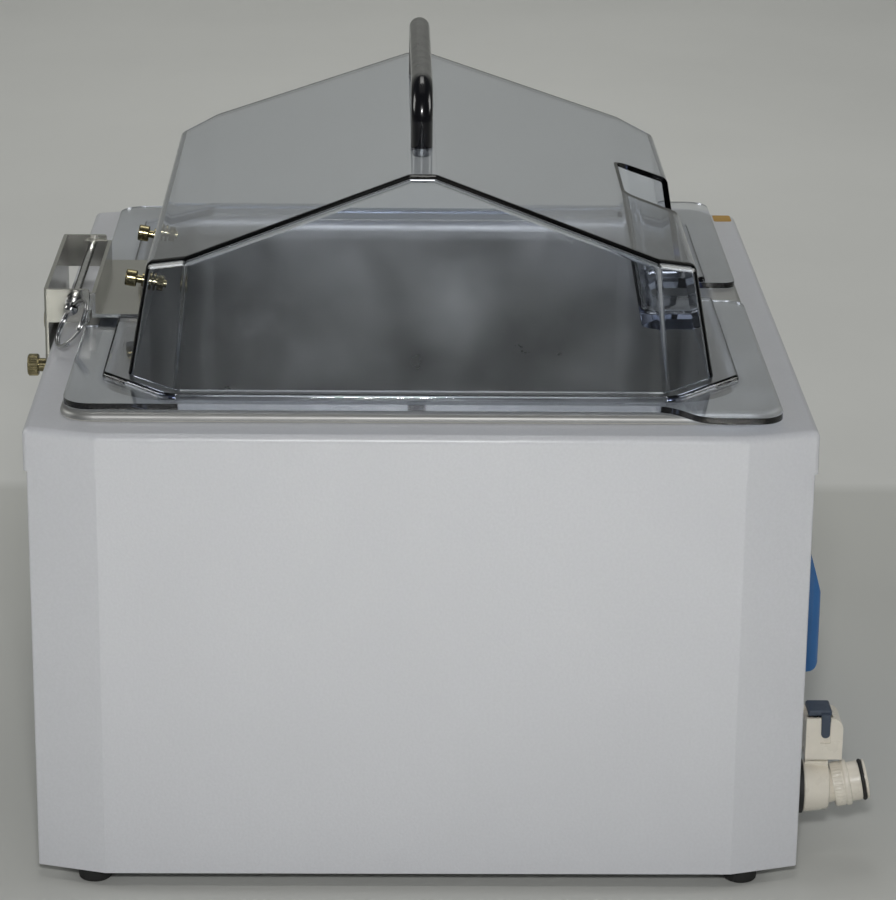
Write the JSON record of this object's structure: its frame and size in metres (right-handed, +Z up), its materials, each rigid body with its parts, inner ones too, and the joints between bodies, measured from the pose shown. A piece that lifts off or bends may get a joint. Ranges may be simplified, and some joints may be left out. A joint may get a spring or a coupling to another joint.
{
  "type": "water bath",
  "caption": "Bench-top heated water bath: painted sheet-metal casing, stainless tank, clear hinged gable lid with bow handle, angled control housing and quick-release drain.",
  "frame": {"origin": "centre of the bounding box's footprint, on the surface that the feet stand on", "axes": "+Z up; -Y is the front, with the controls and the drain; +Y is the rear, with the lid's hinge and the power inlet; +X is to the right seen from the front"},
  "size_m": [0.42, 0.419, 0.3684],
  "materials": {
    "white_powder_coat": "satin",
    "zinc_sheet": "satin",
    "black_rubber": "matte",
    "zinc_screws": "satin",
    "amber_patch": "satin",
    "tank_stainless": "satin",
    "seal_silicone": "satin",
    "insulation_felt": "matte",
    "heater_silicone": "matte",
    "steel_fittings": "satin",
    "cutout_ceramic": "satin",
    "hose_silicone": "satin",
    "coupling_cream": "satin",
    "latch_slate": "matte",
    "spring_steel": "polished",
    "housing_blue": "satin",
    "overlay_film": "satin",
    "smoked_window": "gloss",
    "display_digits": "gloss",
    "circuit_green": "satin",
    "key_grey": "matte",
    "black_plastic": "satin",
    "sink_aluminium": "satin",
    "nickel_contacts": "polished",
    "lead_sleeve": "satin",
    "hinge_stainless": "satin",
    "brass_hardware": "polished",
    "bright_steel": "polished",
    "clear_lid": "gloss",
    "handle_black": "gloss"
  },
  "bodies": {
    "casing": {"lower_casing": "white_powder_coat", "top_cover": "white_powder_coat", "base_plate": "zinc_sheet", "tank_clips": "zinc_sheet", "probe_clip": "zinc_sheet", "feet": "black_rubber", "drain_gasket": "black_rubber", "feet_screws": "zinc_screws", "feet_nuts": "zinc_screws", "housing_screws": "zinc_screws", "inlet_screws": "zinc_screws", "board_pillars": "zinc_screws", "hose_clamps": "zinc_screws", "cover_patch": "amber_patch", "tank": "tank_stainless", "rim_seal": "seal_silicone", "tank_insulation": "insulation_felt", "heater_mat": "heater_silicone", "temperature_probe": "steel_fittings", "drain_spud": "steel_fittings", "drain_nut": "steel_fittings", "overheat_cutout": "cutout_ceramic", "drain_hose": "hose_silicone", "coupling_body": "coupling_cream", "coupling_nut": "coupling_cream", "latch_spring": "spring_steel", "control_housing": "housing_blue", "control_overlay": "overlay_film", "display_window": "smoked_window", "display_module": "display_digits", "control_board": "circuit_green", "power_board": "circuit_green", "key_switches": "black_plastic", "switch_frame": "black_plastic", "board_relay": "black_plastic", "mains_inlet": "black_plastic", "heat_sink": "sink_aluminium", "inlet_pins": "nickel_contacts", "supply_lead": "lead_sleeve", "heater_lead": "lead_sleeve", "probe_lead": "lead_sleeve", "hinge_bracket": "hinge_stainless", "screw_bushes": "brass_hardware"},
    "lid": {"lid_shell": "clear_lid", "hinge_leaf": "hinge_stainless", "leaf_bolts": "brass_hardware", "leaf_nuts": "brass_hardware", "lid_handle": "handle_black", "handle_screws": "zinc_screws"},
    "pin": {"hinge_pin": "bright_steel"},
    "ring": {"pin_ring": "bright_steel"},
    "latch": {"coupling_latch": "latch_slate"},
    "insert": {"drain_insert": "coupling_cream", "insert_o_ring": "black_rubber"},
    "set_key": {"key_set": "key_grey"},
    "down_key": {"key_down": "key_grey"},
    "up_key": {"key_up": "key_grey"},
    "rocker": {"power_rocker": "black_plastic"},
    "left_screw": {"thumb_screw_left": "brass_hardware"},
    "right_screw": {"thumb_screw_right": "brass_hardware"}
  },
  "joints": [
    {"name": "lid_hinge", "type": "hinge", "parent": "casing", "child": "lid", "pos_m": [0, 0.1845, 0.248], "axis": [-1, 0, 0], "range_deg": [0, 95]},
    {"name": "pin_slide", "type": "slide", "parent": "casing", "child": "pin", "axis": [-1, 0, 0], "range_m": [0, 0.115]},
    {"name": "ring_swing", "type": "hinge", "parent": "pin", "child": "ring", "pos_m": [-0.0686, 0.1845, 0.248], "axis": [0.1869, 0.6017, -0.7766], "range_deg": [0, 100]},
    {"name": "latch_press", "type": "slide", "parent": "casing", "child": "latch", "axis": [0, 0, -1], "range_m": [0, 0.002], "stiffness_N_per_m": 900, "deforming": ["latch_spring"]},
    {"name": "insert_pull", "type": "slide", "parent": "casing", "child": "insert", "axis": [0, -1, 0], "range_m": [0, 0.03]},
    {"name": "set_key_press", "type": "slide", "parent": "casing", "child": "set_key", "axis": [0, 0.9626, -0.2709], "range_m": [0, 0.0006], "stiffness_N_per_m": 500},
    {"name": "down_key_press", "type": "slide", "parent": "casing", "child": "down_key", "axis": [0, 0.9626, -0.2709], "range_m": [0, 0.0006], "stiffness_N_per_m": 500},
    {"name": "up_key_press", "type": "slide", "parent": "casing", "child": "up_key", "axis": [0, 0.9626, -0.2709], "range_m": [0, 0.0006], "stiffness_N_per_m": 500},
    {"name": "rocker_tilt", "type": "hinge", "parent": "casing", "child": "rocker", "pos_m": [0.074, -0.1881, 0.095], "axis": [-1, 0, 0], "range_deg": [0, 16]},
    {"name": "left_screw_turn", "type": "hinge", "parent": "casing", "child": "left_screw", "pos_m": [-0.042, 0.1945, 0.211], "axis": [0, 1, 0], "continuous": true},
    {"name": "right_screw_turn", "type": "hinge", "parent": "casing", "child": "right_screw", "pos_m": [0.042, 0.1945, 0.211], "axis": [0, 1, 0], "continuous": true}
  ]
}
